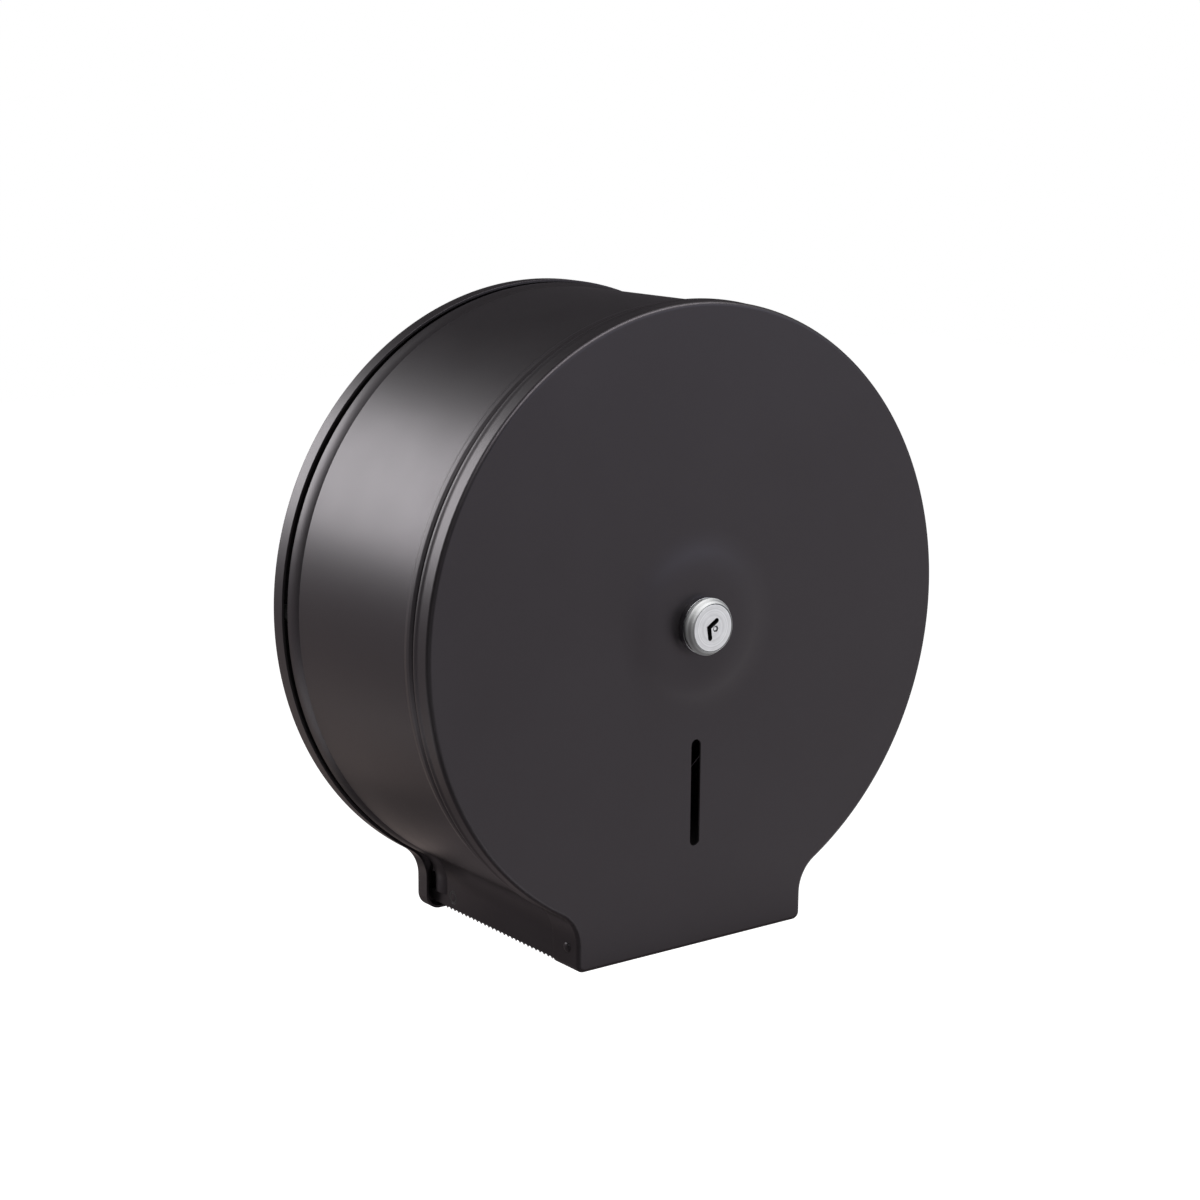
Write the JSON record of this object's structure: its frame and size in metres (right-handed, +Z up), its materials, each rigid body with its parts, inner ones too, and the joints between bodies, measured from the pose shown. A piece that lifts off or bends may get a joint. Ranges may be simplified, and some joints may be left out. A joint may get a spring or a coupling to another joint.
{
  "type": "toilet paper dispenser",
  "caption": "Round wall-mounted drum dispenser for a large toilet paper roll, with a drop-down locking cover, a turning roll hub, a sight slot and toothed tear edges at its open foot.",
  "frame": {"origin": "on the wall face, on the axis of the drum", "axes": "+Z up, +Y into the wall, so the face looks towards -Y and +X is to its right seen from the front"},
  "size_m": [0.273, 0.13, 0.282],
  "materials": {
    "black_paint": "semi-matte black powder paint on sheet steel",
    "lock_metal": "turned and brushed bright metal",
    "bright_trim": "polished",
    "zinc_steel": "zinc-plated steel",
    "blade_steel": "bare steel with dark edges",
    "grey_plastic": "moulded",
    "white_nylon": "moulded",
    "black_nylon": "moulded",
    "black_rubber": "matte"
  },
  "bodies": {
    "back": {"back_plate": "black_paint", "hinge_ear_left": "black_paint", "hinge_ear_right": "black_paint", "hinge_ear_rivets": "zinc_steel", "hinge_pin_left": "black_paint", "hinge_pin_right": "black_paint", "spindle_flange": "zinc_steel", "spindle_rivets": "zinc_steel", "spindle_tube": "zinc_steel", "hub_spacer": "white_nylon", "hub_retainer": "zinc_steel", "lock_keeper": "zinc_steel", "keeper_screws": "zinc_steel", "cover_buffers": "black_rubber"},
    "hub": {"roll_hub": "grey_plastic"},
    "cover": {"cover_face": "black_paint", "cover_band": "black_paint", "face_rivets": "black_paint", "tear_blade_left": "blade_steel", "tear_blade_right": "blade_steel", "hinge_bush_left": "black_nylon", "hinge_bush_right": "black_nylon", "lock_body": "lock_metal", "lock_trim_ring": "bright_trim", "lock_washer": "zinc_steel", "lock_nut": "zinc_steel"},
    "lock": {"lock_plug": "lock_metal", "lock_cam": "zinc_steel", "cam_washer": "zinc_steel", "cam_screw": "zinc_steel"}
  },
  "joints": [
    {"name": "cover_hinge", "type": "hinge", "parent": "back", "child": "cover", "pos_m": [0, -0.023, -0.13599], "axis": [1, 0, 0], "range_deg": [0, 90]},
    {"name": "lock_turn", "type": "hinge", "parent": "cover", "child": "lock", "pos_m": [0, -0.11, 0], "axis": [0, -1, 0], "range_deg": [0, 90]},
    {"name": "hub_spin", "type": "hinge", "parent": "back", "child": "hub", "pos_m": [0, -0.0473, 0], "axis": [0, -1, 0], "continuous": true}
  ]
}
